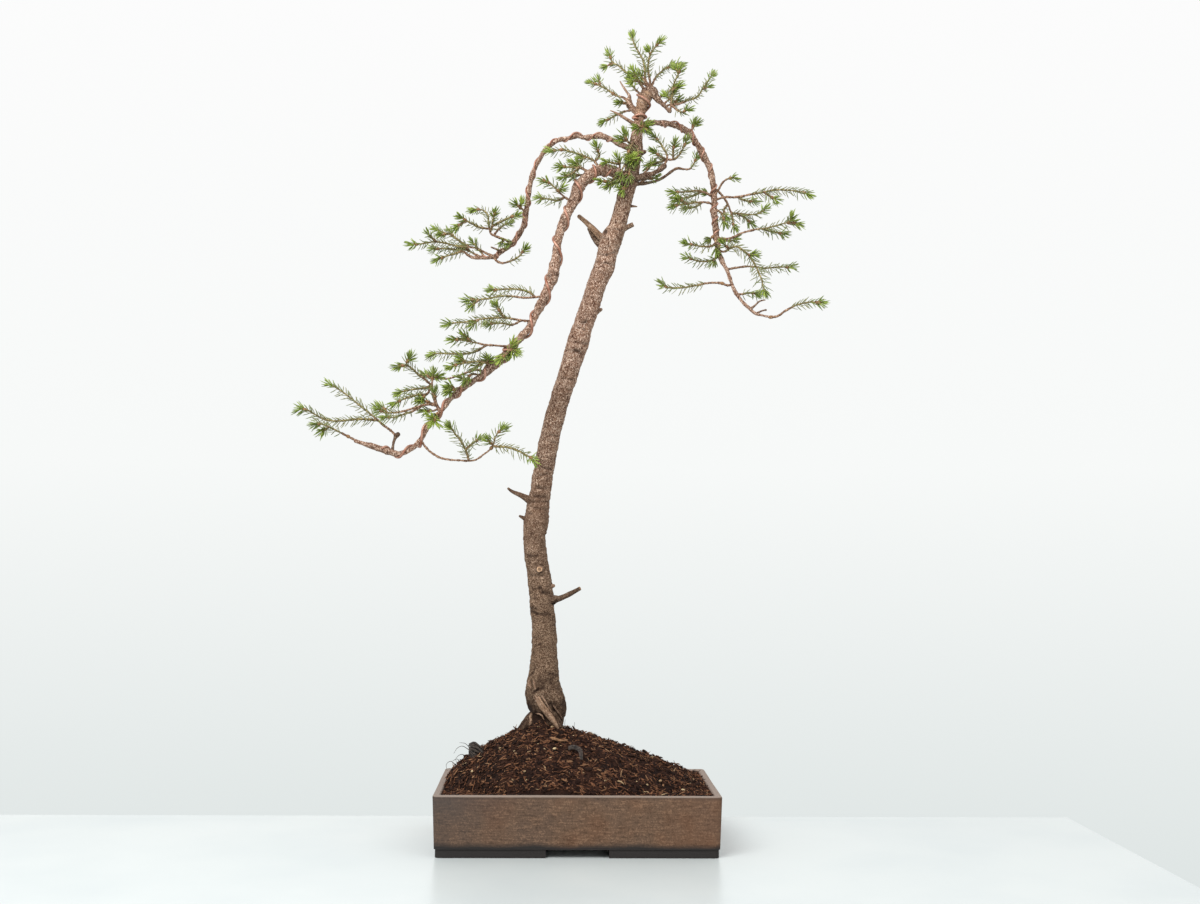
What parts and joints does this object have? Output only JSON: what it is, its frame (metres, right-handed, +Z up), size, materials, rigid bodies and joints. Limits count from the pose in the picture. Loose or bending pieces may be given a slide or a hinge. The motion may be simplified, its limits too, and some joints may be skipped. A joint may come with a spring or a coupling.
{
  "type": "potted bonsai tree",
  "caption": "Spruce bonsai with a slim leaning trunk, wired drooping branches and loose sprays of short needles, growing from mounded soil in a shallow rectangular pot.",
  "frame": {"origin": "centre of the whole object's bounding box at table level, under the pot's feet", "axes": "+Z up; the pot's long sides run along X; the side the picture shows faces -Y"},
  "size_m": [0.5335, 0.1827, 0.8309],
  "materials": {
    "stoneware": "unglazed brown stoneware, matt, with a cool grey cast in places",
    "mesh_plastic": "moulded mesh",
    "bark_soil": "loose dark bark fibres and grit",
    "bark": "rough scaly bark, smoother and pinker on the branches",
    "copper": "annealed copper wire, slightly dulled",
    "needles": "short waxy needles, yellow-green at the tips"
  },
  "bodies": {
    "root": {"pot": "stoneware", "drain_screen_left": "mesh_plastic", "drain_screen_right": "mesh_plastic", "soil": "bark_soil", "wood": "bark", "wire_lower_left": "copper", "wire_upper_left": "copper", "wire_right": "copper", "wire_top": "copper", "spray_top_pale": "needles", "spray_top": "needles", "spray_top_left": "needles", "spray_top_bright": "needles", "spray_top_right": "needles", "spray_shoulder": "needles", "spray_leader": "needles", "spray_leader_low": "needles", "spray_front": "needles", "spray_trunk_left": "needles", "spray_trunk_yellow": "needles", "spray_crotch": "needles", "spray_middle": "needles", "spray_middle_low": "needles", "spray_arch": "needles", "spray_right_long": "needles", "spray_right_hook": "needles", "spray_right_crossing": "needles", "spray_right_low": "needles", "spray_right_thick": "needles", "spray_right_level": "needles", "spray_right_across": "needles", "spray_right_small": "needles", "spray_right_end": "needles", "spray_inside_high": "needles", "spray_inside_low": "needles", "spray_inside_lower": "needles", "spray_inside_lowest": "needles", "spray_pad": "needles", "spray_pad_far": "needles", "spray_pad_low": "needles", "spray_pad_hanging": "needles", "spray_pad_tuft": "needles", "spray_upper": "needles", "spray_crown_left": "needles", "spray_crown_long": "needles", "spray_crown_tuft": "needles", "spray_under": "needles", "spray_left_first": "needles", "spray_left_second": "needles", "spray_left_third": "needles", "spray_left_fourth": "needles", "spray_left_thin": "needles", "spray_left_tuft": "needles", "spray_left_small": "needles", "spray_riser": "needles", "spray_reaching": "needles", "spray_knot": "needles", "spray_end": "needles", "spray_loop": "needles", "spray_bend": "needles"}
  },
  "joints": []
}
